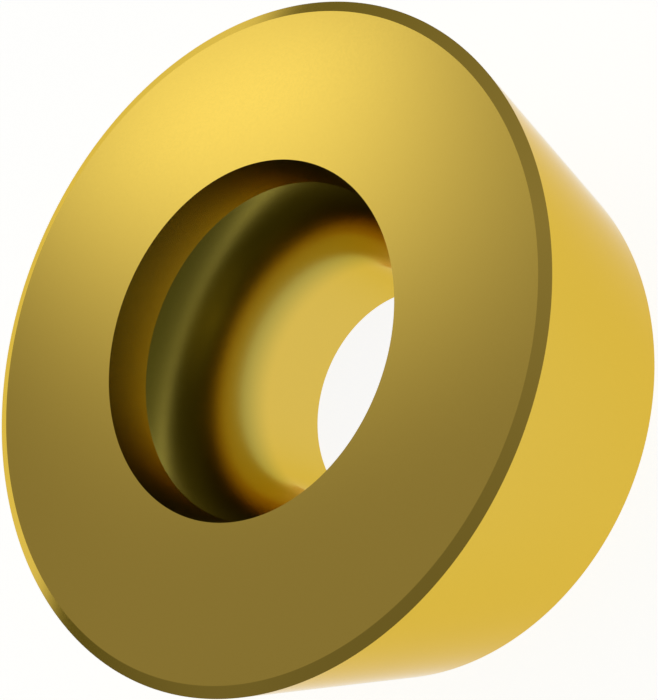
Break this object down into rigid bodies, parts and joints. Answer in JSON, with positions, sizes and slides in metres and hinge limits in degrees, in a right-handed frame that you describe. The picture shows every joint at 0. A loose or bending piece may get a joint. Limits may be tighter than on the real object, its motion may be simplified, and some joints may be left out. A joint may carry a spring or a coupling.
{
  "type": "carbide insert",
  "caption": "Round indexable carbide cutting insert with a flat rake face, a narrow edge land, a conical clearance flank and a recessed screw hole.",
  "frame": {"origin": "centre of the flat seat, on the axis of the screw hole", "axes": "+Z along the axis of the screw hole, from the seat towards the rake face; X and Y are free, because the insert is a body of revolution"},
  "size_m": [0.012, 0.012, 0.0048],
  "materials": {
    "coated_carbide": "satin"
  },
  "bodies": {
    "root": {"round_insert": "coated_carbide"}
  },
  "joints": []
}
